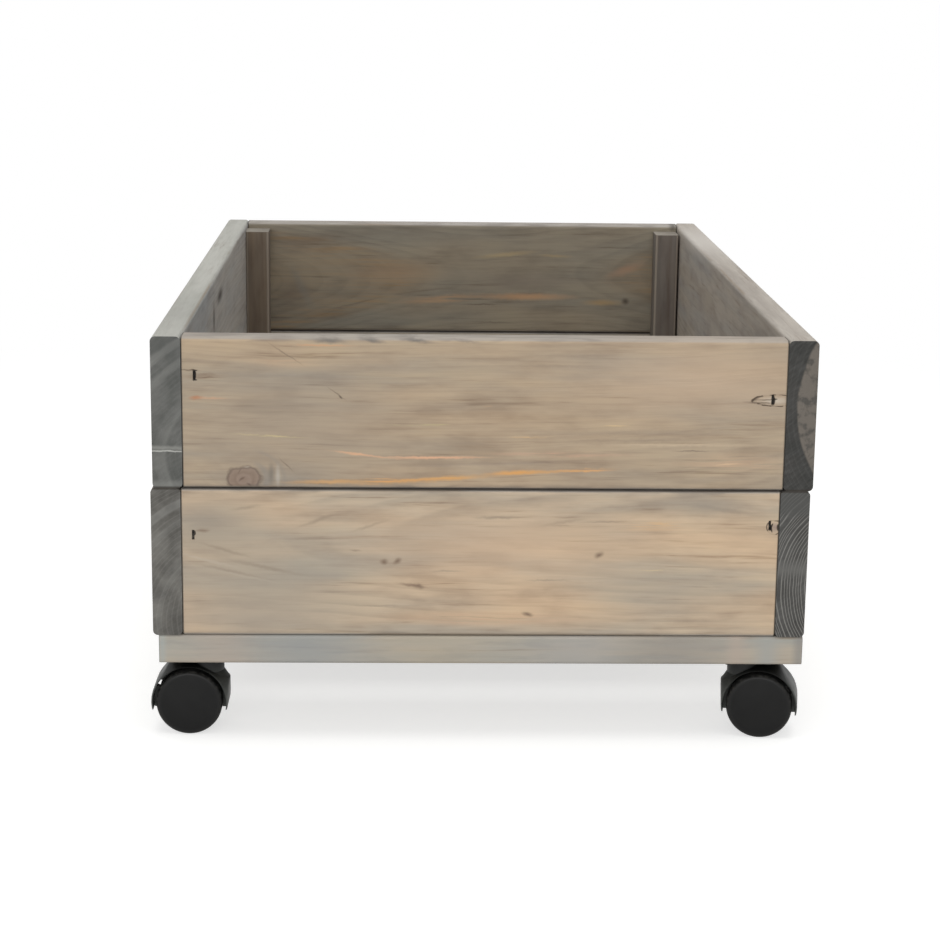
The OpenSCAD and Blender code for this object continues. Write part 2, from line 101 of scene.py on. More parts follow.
def washed_pine(name, node, turn, pith, lean, ring, tones, bow=0, heart=0, knots=(), marks=(),
                inner=0, shut=(), butted=0, seed=0.0):
    """Planed pine under a thin grey wash, which shows as matt wood with soft dark growth lines.
    The rings are real cylinders about the pith, so faces, edges and ends cut them as one log does.
    turn is how the board lies. pith is where the pith lies through the thickness and across the
    width, lean its two slopes, bow its bend, ring a year's width and heart the radius of the
    warmer heartwood. A knot is (along, across, radius, stretch); a mark is (kind, along, across,
    half length, half height, strength, colour), and may end with the degrees by which it rises
    along the board. inner is the side of the thickness that faces into the box, shut the sides
    of the width that touch the next board, and butted how dark the end joints are, with dirt and
    painted shade. Lengths are in metres."""
    low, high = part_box(node)
    centre = (low + high) / 2
    half = Vector(map(abs, Euler(turn).to_matrix().inverted() @ (high - centre)))
    material, tree, place = start_material(name)

    # The board's own axes: X along the grain, Y through its thickness, Z across its width
    board = add(tree, "Mapping", {"Vector": place, "Location": centre, "Rotation": turn},
                vector_type="TEXTURE")
    across = add(tree, "SeparateXYZ", {0: board})

    def patches(over, long, tall, shift, detail, roughness=0.5):
        """Uneven patches of a real length along the grain and height across it."""
        sized = add(tree, "VectorMath", {0: over, 1: (long, tall, tall)}, operation="DIVIDE")
        return add(tree, "TexNoise", {"Vector": sized, "W": seed + shift, "Scale": 1,
                                      "Detail": detail, "Roughness": roughness},
                   noise_dimensions="4D")

    # The log isn't straight: its pith wanders every 250 mm or so, and bows
    drift = patches(board, 0.25, 0.0625, 0, 3)
    bent = add(tree, "VectorMath", {0: drift.outputs["Color"], 1: (0, WANDER, WANDER), 2: board},
               operation="MULTIPLY_ADD")
    square = add(tree, "Math", {0: across.outputs["X"], 1: 2}, operation="POWER")
    curve = add(tree, "VectorMath", {0: square, 1: (0, bow, 0), 2: bent}, operation="MULTIPLY_ADD")
    heart_line = (0, pith[0] + WANDER / 2, pith[1] + WANDER / 2)
    log = add(tree, "Mapping", {"Vector": curve, "Location": heart_line, "Scale": (1e4, 1, 1),
                                "Rotation": (0, lean[1], lean[0])}, vector_type="TEXTURE")
    radius = add(tree, "VectorMath", {0: log}, operation="LENGTH")

    # Growth lines swell round each knot, and the wash gathers in arcs to one side of a big one
    nearest, arcs = 50.0, []
    for along, up, size, stretch in knots:
        eye = add(tree, "Mapping", {"Vector": bent, "Location": (along, 0, up + WANDER / 2),
                                    "Scale": (size * stretch, 1e4, size)}, vector_type="TEXTURE")
        away = add(tree, "VectorMath", {0: eye}, operation="LENGTH")
        swell = add(tree, "MapRange", {"Value": away, "From Max": 3.5, "To Min": size * 0.8,
                                       "To Max": 0}, interpolation_type="SMOOTHERSTEP")
        radius = add(tree, "Math", {0: radius, 1: swell}, operation="ADD")
        nearest = add(tree, "Math", {0: nearest, 1: away}, operation="MINIMUM")
        if size > BIG_KNOT:
            side = add(tree, "SeparateXYZ", {0: eye}).outputs["X"]
            side = add(tree, "MapRange", {"Value": side, "From Min": 0.5, "From Max": 1.1})
            band = add(tree, "Math", {0: away, 1: 0.25}, operation="MULTIPLY")
            band = add(tree, "ValToRGB", {"Fac": band}, stops=[
                (0.27, 0.0), (0.33, 0.55), (0.37, 0.5), (0.42, 0.0), (0.56, 0.0), (0.6, 0.35),
                (0.66, 0.0)])
            arcs.append(add(tree, "Math", {0: side, 1: band}, operation="MULTIPLY"))

    # A year's growth is pale earlywood that darkens into latewood, and years differ in width
    uneven = add(tree, "TexNoise", {"W": radius, "Scale": 0.2 / ring, "Detail": 1},
                 noise_dimensions="1D")
    years = add(tree, "Math", {0: radius, 1: 1 / ring}, operation="MULTIPLY")
    years = add(tree, "Math", {0: uneven, 1: 3.0, 2: years}, operation="MULTIPLY_ADD")
    year = add(tree, "Math", {0: years}, operation="FRACT")
    latewood = add(tree, "ValToRGB", {"Fac": year},
                   stops=[(0, 0.0), (0.4, 0.1), (0.78, 1.0), (0.9, 0.9), (1, 0.0)])
    line = add(tree, "Math", {0: latewood, 1: tones["line"]}, operation="MULTIPLY")
    colour = add(tree, "Mix", {"Factor": line, "A": tones["early"], "B": tones["late"]},
                 data_type="RGBA")

    # The wash has sunk in more in some streaks, and the wood glows warm through it in clouds
    wash = patches(bent, 0.1667, 0.0154, 3, 5, 0.55)
    soaked = add(tree, "MapRange", {"Value": wash, "From Min": 0.42, "From Max": 0.64})
    amount = add(tree, "Math", {0: soaked, 1: tones["soak"]}, operation="MULTIPLY")
    colour = add(tree, "Mix", {"Factor": amount, "A": colour, "B": tones["wash"]},
                 data_type="RGBA")
    cloud = patches(bent, 0.143, 0.0333, 7, 2)
    warmth = add(tree, "MapRange", {"Value": cloud, "From Min": 0.45, "From Max": 0.68})
    amount = add(tree, "Math", {0: warmth, 1: tones["glow"]}, operation="MULTIPLY")
    colour = add(tree, "Mix", {"Factor": amount, "A": colour, "B": tones["warm"]},
                 data_type="RGBA")

    # Fibres are drawn 67 mm long and 2.3 mm high, coarser than real ones, or they wouldn't show
    fibre = patches(bent, 0.0667, 0.002326, 0, 3, 0.7)

    # Heartwood is warmest at its rim, and its resin shows through the wash in orange lines
    if heart:
        depth = add(tree, "MapRange", {"Value": radius, "From Min": heart - 0.03,
                                       "From Max": heart + 0.004})
        depth = add(tree, "ValToRGB", {"Fac": depth},
                    stops=[(0, 0.35), (0.55, 0.45), (0.84, 1.0), (0.97, 0.0)])
        resin = add(tree, "MapRange", {"Value": fibre, "From Min": 0.46, "From Max": 0.62,
                                       "To Min": 0.25, "To Max": 1})
        amount = add(tree, "Math", {0: depth, 1: resin}, operation="MULTIPLY")
        amount = add(tree, "Math", {0: amount, 1: tones["resin"]}, operation="MULTIPLY")
        colour = add(tree, "Mix", {"Factor": amount, "A": colour, "B": tones["orange"]},
                     data_type="RGBA")

    # Inside the box the face is painted darker: painted shade from the box's walls
    if inner:
        depth = add(tree, "Math", {0: across.outputs["Y"], 1: inner}, operation="MULTIPLY")
        depth = add(tree, "MapRange", {"Value": depth, "From Min": half.y - 0.003,
                                       "From Max": half.y - 0.001})
        dark = add(tree, "Mix", {"Factor": depth, "A": "#FFFFFF", "B": tones["inside"]},
                   data_type="RGBA")
        colour = add(tree, "Mix", {"Factor": 1.0, "A": colour, "B": dark},
                     data_type="RGBA", blend_type="MULTIPLY")

    # Fibres lighten and darken the wood a little, the dark ones being the greyer, and the brush
    # left more or less of the wash in dabs
    grain = add(tree, "ValToRGB", {"Fac": fibre}, stops=[
        (0.31, "#DAD5D1"), (0.38, "#F1EFEE"), (0.46, "#F8F8F8"), (0.62, "#FFFFFF")])
    dab = add(tree, "ValToRGB", {"Fac": patches(bent, 0.0333, 0.00952, 5, 3)}, stops=[
        (0.33, "#E7E4E2"), (0.45, "#F4F2F0"), (0.55, "#FBFAF8"), (0.68, "#FFFEFA")])
    for shading in (grain, dab):
        colour = add(tree, "Mix", {"Factor": 1.0, "A": colour, "B": shading},
                     data_type="RGBA", blend_type="MULTIPLY")
    for arc in arcs:
        colour = add(tree, "Mix", {"Factor": arc, "A": colour, "B": "#8C8780"}, data_type="RGBA")

    # A knot is purple-brown with a thin dark rim, which wavers every 6 mm or so
    if knots:
        waver = add(tree, "TexNoise", {"Vector": bent, "Scale": 160, "Detail": 2})
        waver = add(tree, "MapRange", {"Value": waver, "From Min": 0.3, "From Max": 0.7,
                                       "To Min": -0.13, "To Max": 0.13})
        rim = add(tree, "Math", {0: nearest, 1: waver}, operation="ADD")
        eye_tone = add(tree, "ValToRGB", {"Fac": rim}, stops=[
            (0, "#8A7566"), (0.3, "#927E71"), (0.55, "#836F60"), (0.8, "#8F7B6D"),
            (0.95, "#6C5B4F")])
        inside = add(tree, "MapRange", {"Value": rim, "From Min": 0.93, "From Max": 1.12,
                                        "To Min": 0.9, "To Max": 0})
        colour = add(tree, "Mix", {"Factor": inside, "A": colour, "B": eye_tone}, data_type="RGBA")

    # The narrow edges took the wash best
    beyond = add(tree, "VectorMath", {0: board}, operation="ABSOLUTE")
    beyond = add(tree, "VectorMath", {0: beyond, 1: half}, operation="SUBTRACT")
    beyond = add(tree, "SeparateXYZ", {0: beyond})
    edge = add(tree, "MapRange", {"Value": beyond.outputs["Z"], "From Min": -0.0019,
                                  "From Max": -0.0009, "To Max": 0.9})
    edge_tone = add(tree, "Mix", {"Factor": soaked, "A": tones["edge"], "B": tones["edge_dim"]},
                    data_type="RGBA")
    edge_tone = add(tree, "Mix", {"Factor": 1.0, "A": edge_tone, "B": grain},
                    data_type="RGBA", blend_type="MULTIPLY")
    colour = add(tree, "Mix", {"Factor": edge, "A": colour, "B": edge_tone}, data_type="RGBA")

    # Dark smudges lie where a brush ran off the arris, which is rubbed through in places
    smear = add(tree, "MapRange", {"Value": patches(board, 0.0263, 0.00526, 11, 2),
                                   "From Min": 0.5, "From Max": 0.64, "To Max": tones["smears"]})
    near = add(tree, "MapRange", {"Value": beyond.outputs["Z"], "From Min": -0.0034,
                                  "From Max": -0.0018})
    smear = add(tree, "Math", {0: smear, 1: near}, operation="MULTIPLY")
    colour = add(tree, "Mix", {"Factor": smear, "A": colour, "B": tones["smear"]},
                 data_type="RGBA")
    arris = add(tree, "Math", {0: beyond.outputs["Y"], 1: beyond.outputs["Z"]},
                operation="MINIMUM")
    arris = add(tree, "MapRange", {"Value": arris, "From Min": -0.0021, "From Max": -0.001})
    rubbed = add(tree, "MapRange", {"Value": wash, "From Min": tones["worn"],
                                    "From Max": tones["worn"] + 0.07, "To Max": 0.6})
    rubbed = add(tree, "Math", {0: rubbed, 1: arris}, operation="MULTIPLY")
    colour = add(tree, "Mix", {"Factor": rubbed, "A": colour, "B": tones["rubbed"]},
                 data_type="RGBA")

    # The sawn ends drank the wash and turned dark in patches of 17 mm; pale bands and latewood
    # lines stand out
    ends = add(tree, "MapRange", {"Value": beyond.outputs["X"], "From Min": -0.0004,
                                  "From Max": -0.0002})
    blotch = add(tree, "TexNoise", {"Vector": board, "Scale": 60, "Detail": 4})
    blotch = add(tree, "MapRange", {"Value": blotch, "From Min": 0.4, "From Max": 0.65})
    pores = add(tree, "Mix", {"Factor": blotch, "A": tones["end"], "B": tones["end_patch"]},
                data_type="RGBA")
    pale = add(tree, "TexNoise", {"W": radius, "Scale": 95, "Detail": 1}, noise_dimensions="1D")
    pale = add(tree, "MapRange", {"Value": pale, "From Min": 0.52, "From Max": 0.7,
                                  "To Max": tones["end_band"]})
    pores = add(tree, "Mix", {"Factor": pale, "A": pores, "B": "#8C8C88"}, data_type="RGBA")
    shown = add(tree, "MapRange", {"Value": latewood, "From Min": 0.55,
                                   "To Max": tones["end_line"]})
    pores = add(tree, "Mix", {"Factor": shown, "A": pores, "B": "#A3A19B"}, data_type="RGBA")
    # The saw left slanting scratches about 8 mm long and 1.5 mm apart
    slant = add(tree, "Mapping", {"Vector": board, "Rotation": (math.radians(-40), 0, 0),
                                  "Scale": (1, 0.008, 0.0015)}, vector_type="TEXTURE")
    scratch = add(tree, "TexNoise", {"Vector": slant, "Scale": 1, "Detail": 3})
    scratch = add(tree, "MapRange", {"Value": scratch, "From Min": 0.4, "From Max": 0.7,
                                     "To Min": -0.007, "To Max": 0.014})
    pores = add(tree, "VectorMath", {0: pores, 1: scratch}, operation="ADD")
    # Heartwood drank less, and is mottled every 7 mm
    if heart:
        core = add(tree, "MapRange", {"Value": radius, "From Min": heart - 0.0006,
                                      "From Max": heart + 0.0006, "To Min": 1, "To Max": 0})
        mottle = add(tree, "TexNoise", {"Vector": board, "Scale": 150, "Detail": 3})
        mottle = add(tree, "MapRange", {"Value": mottle, "From Min": 0.5, "From Max": 0.62,
                                        "To Min": tones["end_heart"],
                                        "To Max": tones["end_heart"] * 0.35})
        core = add(tree, "Math", {0: core, 1: mottle}, operation="MULTIPLY")
        pores = add(tree, "Mix", {"Factor": core, "A": pores, "B": "#756E66"}, data_type="RGBA")
    colour = add(tree, "Mix", {"Factor": ends, "A": colour, "B": pores}, data_type="RGBA")

    # Marks: a hole is crisp and a smudge soft, torn fibres show as dark lines, partly painted
    # shade of the dents round the staples, and resin as warm ones, a split has a thin broken
    # outline, and a stain is a smudge on the inner face alone
    waver = add(tree, "TexNoise", {"Vector": board, "Scale": 260, "Detail": 2})
    wavering = add(tree, "VectorMath", {0: waver.outputs["Color"], 1: (0, 0, WAVER), 2: board},
                   operation="MULTIPLY_ADD")
    for kind, along, up, long, tall, strength, dye, *rise in marks:
        face, deep = (inner * half.y, 0.009) if kind == "stain" else (0, 1e4)
        spot = add(tree, "Mapping", {"Vector": wavering, "Location": (along, face, up + WAVER / 2),
                                     "Rotation": (0, -math.radians(sum(rise)), 0),
                                     "Scale": (long, deep, tall)}, vector_type="TEXTURE")
        away = add(tree, "VectorMath", {0: spot}, operation="LENGTH")
        if kind == "split":
            shown = add(tree, "ValToRGB", {"Fac": away},
                        stops=[(0.74, 0.0), (0.88, strength), (0.94, strength), (1.0, 0.0)])
            gaps = add(tree, "MapRange", {"Value": waver, "From Min": 0.42, "From Max": 0.52,
                                          "To Min": 0.15})
            shown = add(tree, "Math", {0: shown, 1: gaps}, operation="MULTIPLY")
        else:
            soft = {"hole": 0.6, "torn": 0.2}.get(kind, 0.0)
            shown = add(tree, "MapRange", {"Value": away, "From Min": soft, "From Max": 1,
                                           "To Min": strength, "To Max": 0},
                        interpolation_type="SMOOTHSTEP")
        if kind in ("torn", "resin"):
            dark, light = (0.52, 0.44) if kind == "torn" else (0.42, 0.54)
            lines = add(tree, "MapRange", {"Value": fibre, "From Min": dark, "From Max": light})
            shown = add(tree, "Math", {0: shown, 1: lines}, operation="MULTIPLY")
        colour = add(tree, "Mix", {"Factor": shown, "A": colour, "B": dye}, data_type="RGBA")

    # Dirt and shadow lie in the joints with the next board
    dirt_and_shade = add(tree, "MapRange", {"Value": beyond.outputs["X"], "From Min": -0.0009,
                                   "From Max": -0.0003, "To Max": butted})
    for side in shut:
        closed = add(tree, "Math", {0: across.outputs["Z"], 1: side}, operation="MULTIPLY")
        closed = add(tree, "MapRange", {"Value": closed, "From Min": half.z - 0.0014,
                                        "From Max": half.z - 0.0006, "To Max": 0.75})
        dirt_and_shade = add(tree, "Math", {0: dirt_and_shade, 1: closed}, operation="MAXIMUM")
    colour = add(tree, "Mix", {"Factor": dirt_and_shade, "A": colour, "B": "#2E2821"}, data_type="RGBA")

    # Latewood stands a few hundredths of a millimetre proud of the planed earlywood
    height = add(tree, "Math", {0: latewood, 1: 0.35, 2: fibre}, operation="MULTIPLY_ADD")
    bump = add(tree, "Bump", {"Height": height, "Strength": 0.5, "Distance": 0.0002})
    rough = add(tree, "MapRange", {"Value": fibre, "From Min": 0.3, "From Max": 0.7,
                                   "To Min": 0.72, "To Max": 0.86})
    feed(tree, tree.nodes["Principled BSDF"], {
        "Base Color": colour, "Roughness": rough, "Normal": bump, "IOR": 1.5,
        "Specular IOR Level": 0.35})
    for slot in nodes[node].material_slots:
        slot.material = material


# SLOT_SHADE is painted shade, for the slots and holes round the staples
SLOT_SHADE, BROWN, GREY, ORANGE = "#1C1511", "#7F6B5A", "#9D9386", "#D3A26E"

# Colours, and from 0 to 1 how much each shows: early and late are the wood's own two, wash and
# warm lie over them in streaks and clouds, and resin is orange; edge is for the narrow edges,
# smear and rubbed for what the brush and wear did to them, inside is painted shade on the faces
# inside the box, and those named end are for the sawn ends. worn is how little of the arrises is
# rubbed
end_tones = {
    "early": "#BBA992", "late": "#9E8F7F", "wash": "#A0978B", "warm": "#C2AA8E",
    "orange": ORANGE, "edge": "#B0ABA5", "edge_dim": "#9E978F", "rubbed": "#8E7D69",
    "smear": "#76706A", "inside": "#C6CFD4", "end": "#575855", "end_patch": "#6A6A67",
    "line": 0.35, "soak": 0.8, "glow": 0.6, "resin": 0.75, "end_line": 0.1, "end_band": 0.4,
    "end_heart": 0.0, "smears": 0.45, "worn": 0.53,
}
ALONG_X = (0, 0, 0)  # how far a board's own axes are turned as it lies in the box
washed_pine(
    "upper_front_pine", "upper_front_end_board", ALONG_X, pith=(0.055, -0.060),
    lean=(0, -0.01), ring=0.0027, bow=0.25, inner=1, shut=(-1,), butted=0.75, seed=1.3,
    tones=dict(end_tones, line=0.2, edge="#A69F96", edge_dim="#938C84"),
    knots=[(-0.1450, -0.0410, 0.0078, 1.3)],
    marks=[
        # Greyer and warmer patches, and faint bands along the grain
        ("smudge", -0.115, -0.006, 0.095, 0.050, 0.5, GREY),
        ("smudge", 0.130, 0.022, 0.120, 0.035, 0.6, "#CAB299"),
        ("smudge", 0.088, -0.0153, 0.073, 0.0016, 0.35, "#8A7B6C", 1),
        ("smudge", 0.036, 0.0300, 0.041, 0.0012, 0.3, "#8A7B6C"),
        ("smudge", 0.100, -0.0105, 0.110, 0.0026, 0.3, "#93877A"),
        ("smudge", 0.120, -0.0180, 0.080, 0.0015, 0.4, "#D2BDA2"),
        ("smudge", -0.060, -0.0200, 0.070, 0.0022, 0.3, "#948678", -2),
        ("smudge", 0.010, -0.0300, 0.080, 0.0018, 0.35, "#94877C", 2),
        # Round the knot
        ("smudge", -0.1285, -0.0375, 0.0028, 0.0105, 0.75, "#7C756C"),
        ("smudge", -0.1245, -0.0385, 0.0022, 0.0100, 0.6, "#BDB6AB"),
        ("smudge", -0.1192, -0.0316, 0.0085, 0.0007, 0.7, "#7E7062", -44),
        ("smudge", -0.1462, -0.0405, 0.0034, 0.0011, 0.7, "#5F4D43", 35),
        ("smudge", -0.1420, -0.0435, 0.0026, 0.0009, 0.6, "#5F4D43", -40),
        ("smudge", -0.1475, -0.0355, 0.0030, 0.0008, 0.5, "#6A574B", 60),
        ("smudge", -0.1430, -0.0330, 0.0030, 0.0008, 0.6, "#BDB2A4"),
        # Resin streaks
        ("resin", -0.1045, -0.0422, 0.0208, 0.0024, 0.9, ORANGE, 1),
        ("resin", -0.0643, -0.0414, 0.0270, 0.0028, 1.0, "#DCA465", 2),
        ("resin", -0.0236, -0.0396, 0.0276, 0.0028, 1.0, "#D6A56C", 4),
        ("resin", 0.0196, -0.0358, 0.0255, 0.0026, 1.0, "#DCA465", 3),
        ("resin", 0.0606, -0.0339, 0.0263, 0.0018, 1.0, "#DFAA72", 2),
        ("smudge", -0.030, -0.0400, 0.075, 0.0022, 0.4, "#D6A56C", 4),
        ("smudge", -0.092, -0.0418, 0.040, 0.0022, 0.65, "#D9A668", 1),
        ("smudge", -0.045, -0.0406, 0.030, 0.0013, 0.7, "#DCA465", 3),
        ("smudge", -0.0720, -0.0250, 0.030, 0.0010, 0.7, "#D8AC8C", -7),
        ("smudge", -0.0250, -0.0266, 0.040, 0.0009, 0.7, "#DCAE8E", 1),
        ("smudge", 0.035, -0.0352, 0.045, 0.0012, 0.5, "#DCA465", 3),
        ("resin", -0.0757, -0.0249, 0.0186, 0.0015, 1.0, "#D9AE8C", -8),
        ("resin", -0.0304, -0.0265, 0.0352, 0.0015, 1.0, "#DCAE8E", 1),
        ("smudge", -0.0450, -0.0262, 0.0300, 0.0007, 0.6, "#DCAE8E"),
        ("resin", 0.045, -0.0240, 0.055, 0.0024, 0.5, "#D2A38C"),
        ("resin", -0.1284, -0.0138, 0.0299, 0.0010, 0.9, "#CBBB90", -3),
        ("resin", -0.0357, -0.0061, 0.0276, 0.0012, 0.9, "#C4BA88"),
        ("resin", 0.0266, -0.0137, 0.0170, 0.0009, 0.9, "#D4B287", 2),
        ("resin", 0.0787, -0.0064, 0.0108, 0.0009, 0.9, "#CFB690", 2),
        ("resin", 0.1207, -0.0172, 0.0356, 0.0009, 0.9, "#D5BFA0", 1),
        ("resin", 0.1468, -0.0297, 0.0109, 0.0010, 0.9, "#DAC2A0", 5),
        ("resin", 0.0029, 0.0065, 0.0080, 0.0016, 0.8, "#D9A673", 2),
        ("resin", -0.100, 0.0415, 0.030, 0.0012, 0.7, "#CFA27C"),
        ("resin", 0.150, -0.0300, 0.045, 0.0100, 0.4, "#CFA98A"),
        ("resin", -0.120, 0.0330, 0.030, 0.0070, 0.4, "#C9A98C"),
        # Brush smudges on the top arris
        ("smudge", -0.0943, 0.0446, 0.0170, 0.0027, 0.9, "#746F69", -1),
        ("smudge", -0.0685, 0.0449, 0.0115, 0.0019, 0.9, "#746F69", -8),
        ("smudge", -0.0424, 0.0450, 0.0155, 0.0019, 0.9, "#746F69", -6),
        ("smudge", -0.0118, 0.0447, 0.0130, 0.0011, 0.5, "#7A746D", -5),
        # Scratches
        ("smudge", -0.1194, 0.0363, 0.0162, 0.0007, 0.6, "#766859", -33),
        ("smudge", -0.0890, 0.0124, 0.0094, 0.0006, 0.6, "#6B5E51", -36),
        ("smudge", -0.0867, 0.0102, 0.0022, 0.0009, 0.8, "#4F443B", -45),
        ("smudge", 0.1256, -0.0216, 0.0163, 0.0007, 0.8, "#7E7164"),
        # Round the left staple, whose slots and dents are painted dark with painted shade, and the
        # left end
        ("smudge", -0.173, 0.0094, 0.0060, 0.0019, 0.9, "#B27C5C"),
        ("resin", -0.165, 0.0085, 0.0150, 0.0020, 0.7, "#D1A585"),
        ("torn", -0.168, 0.0190, 0.015, 0.0090, 0.6, BROWN),
        ("torn", -0.1765, 0.0262, 0.008, 0.0007, 0.8, "#5A4A3C"),
        ("torn", -0.1660, 0.0240, 0.007, 0.0006, 0.6, "#7A6655"),
        ("torn", -0.1660, 0.0218, 0.006, 0.0006, 0.6, "#7A6655"),
        ("hole", -0.1735, 0.0232, 0.0010, 0.0036, 0.9, SLOT_SHADE),
        ("hole", -0.1735, 0.0260, 0.0019, 0.0006, 0.8, SLOT_SHADE),
        ("hole", -0.1735, 0.0202, 0.0017, 0.0006, 0.8, SLOT_SHADE),
        # Round the right staple, whose slots and dents are painted dark with painted shade
        ("smudge", 0.1745, 0.0098, 0.0125, 0.0030, 0.7, "#CFC4B4"),
        ("split", 0.1755, 0.0098, 0.0160, 0.0039, 0.9, "#43362B"),
        ("torn", 0.1650, 0.0098, 0.0120, 0.0028, 0.9, "#4A3C30"),
        ("smudge", 0.1700, 0.0104, 0.0070, 0.0005, 0.7, "#5A4A3C", 4),
        ("smudge", 0.1690, 0.0084, 0.0060, 0.0004, 0.6, "#5A4A3C", -5),
        ("hole", 0.1738, 0.0098, 0.0011, 0.0034, 0.9, SLOT_SHADE),
        ("hole", 0.1740, 0.0108, 0.0024, 0.0007, 0.8, SLOT_SHADE),
    ])
washed_pine(
    "lower_front_pine", "lower_front_end_board", ALONG_X, pith=(0.036, 0.017),
    lean=(-0.07, -0.02), ring=0.0046, inner=1, shut=(1,), butted=0.75, seed=4.1,
    tones=dict(end_tones, early="#D1BDA4", wash="#B3A99B", warm="#D9BD9E", glow=0.85),
    marks=[
        # The left end took more of the wash
        ("smudge", -0.130, -0.015, 0.100, 0.045, 0.7, "#A29B8F"),
        ("smudge", -0.165, 0.024, 0.060, 0.032, 0.65, "#A0978A"),
        ("smudge", -0.145, -0.036, 0.080, 0.017, 0.45, "#A59C90"),
        # Lines where the grain runs out at a slant
        ("smudge", -0.1650, 0.0010, 0.0300, 0.0016, 0.5, "#BFB3A2", -14),
        ("smudge", -0.1450, -0.0080, 0.0300, 0.0014, 0.4, "#BFB3A2", -13),
        ("smudge", -0.1554, 0.0078, 0.0230, 0.0017, 0.42, "#8B7D6D", -16),
        ("smudge", -0.1317, -0.0029, 0.0330, 0.0019, 0.42, "#8B7D6D", -12),
        ("smudge", -0.1524, -0.0055, 0.0320, 0.0016, 0.38, "#8B7D6D", -13),
        ("smudge", -0.0992, 0.0266, 0.0180, 0.0018, 0.42, "#8B7D6D", 20),
        ("smudge", -0.0676, 0.0233, 0.0160, 0.0016, 0.38, "#8B7D6D", 19),
        ("smudge", -0.1424, 0.0344, 0.0140, 0.0016, 0.38, "#8B7D6D", 10),
        ("smudge", -0.0765, 0.0078, 0.0056, 0.0009, 0.6, "#8B7D6D", -6),
        ("smudge", 0.0490, 0.0260, 0.0200, 0.0018, 0.42, "#8B7D6D", 10),
        ("smudge", 0.0490, 0.0239, 0.0096, 0.0009, 0.5, "#8B7D6D"),
        ("smudge", 0.1288, 0.0435, 0.0255, 0.0032, 0.5, "#91867A", 6),
        ("smudge", 0.1479, 0.0344, 0.0348, 0.0022, 0.4, "#8B8276", -8),
        # Resin, and warmer and greyer patches
        ("resin", 0.1081, -0.0037, 0.0144, 0.0010, 0.8, "#D6C39C", 3),
        ("resin", 0.1093, 0.0254, 0.0105, 0.0016, 0.7, "#DBB888", -6),
        ("smudge", 0.010, 0.010, 0.120, 0.034, 0.5, "#D6B798"),
        ("smudge", 0.120, -0.018, 0.080, 0.022, 0.45, "#A89E90"),
        ("smudge", 0.135, 0.036, 0.040, 0.010, 0.6, "#948B80"),
        ("resin", 0.105, 0.0240, 0.030, 0.0050, 0.6, "#D2AE86"),
        ("resin", 0.000, -0.0350, 0.080, 0.0060, 0.5, "#C9A184"),
        # Thin dark lines along the grain
        ("smudge", 0.010, 0.0290, 0.022, 0.0016, 0.6, "#8E8172"),
        ("smudge", -0.020, -0.0050, 0.014, 0.0010, 0.5, "#97897A"),
        ("smudge", 0.040, -0.0105, 0.018, 0.0010, 0.5, "#97897A"),
        ("smudge", 0.075, 0.0265, 0.015, 0.0009, 0.5, "#97897A"),
        ("smudge", -0.100, 0.0150, 0.030, 0.0011, 0.4, "#97897A"),
        ("smudge", -0.060, -0.0270, 0.030, 0.0011, 0.4, "#97897A"),
        # Pin knots and nicks
        ("smudge", -0.0590, 0.0008, 0.0036, 0.0025, 0.9, BROWN),
        ("smudge", -0.0508, 0.0012, 0.0040, 0.0024, 0.9, BROWN, 30),
        ("smudge", -0.0419, -0.0140, 0.0125, 0.0016, 0.75, BROWN, -9),
        ("smudge", -0.0380, -0.0146, 0.0050, 0.0026, 0.7, BROWN, -12),
        ("smudge", 0.0722, 0.0057, 0.0044, 0.0028, 0.9, BROWN, 30),
        ("smudge", 0.0290, -0.0322, 0.0052, 0.0022, 0.9, BROWN, -12),
        # Round the left staple, whose slots and dents are painted dark with painted shade
        ("hole", -0.1737, 0.0184, 0.0009, 0.0018, 0.9, SLOT_SHADE),
        ("hole", -0.1746, 0.0160, 0.0009, 0.0018, 0.9, SLOT_SHADE),
        ("torn", -0.1690, 0.0200, 0.006, 0.0025, 0.8, BROWN),
        # Round the right staple, whose slots and dents are painted dark with painted shade
        ("smudge", 0.1792, 0.0236, 0.0048, 0.0048, 0.8, "#9C8A80"),
        ("split", 0.1790, 0.0236, 0.0054, 0.0050, 0.8, "#3A2E25"),
        ("hole", 0.1764, 0.0236, 0.0010, 0.0040, 0.9, SLOT_SHADE, 20),
        ("hole", 0.1768, 0.0236, 0.0008, 0.0032, 0.9, SLOT_SHADE, -25),
        ("hole", 0.1812, 0.0236, 0.0012, 0.0026, 0.9, SLOT_SHADE),
    ])
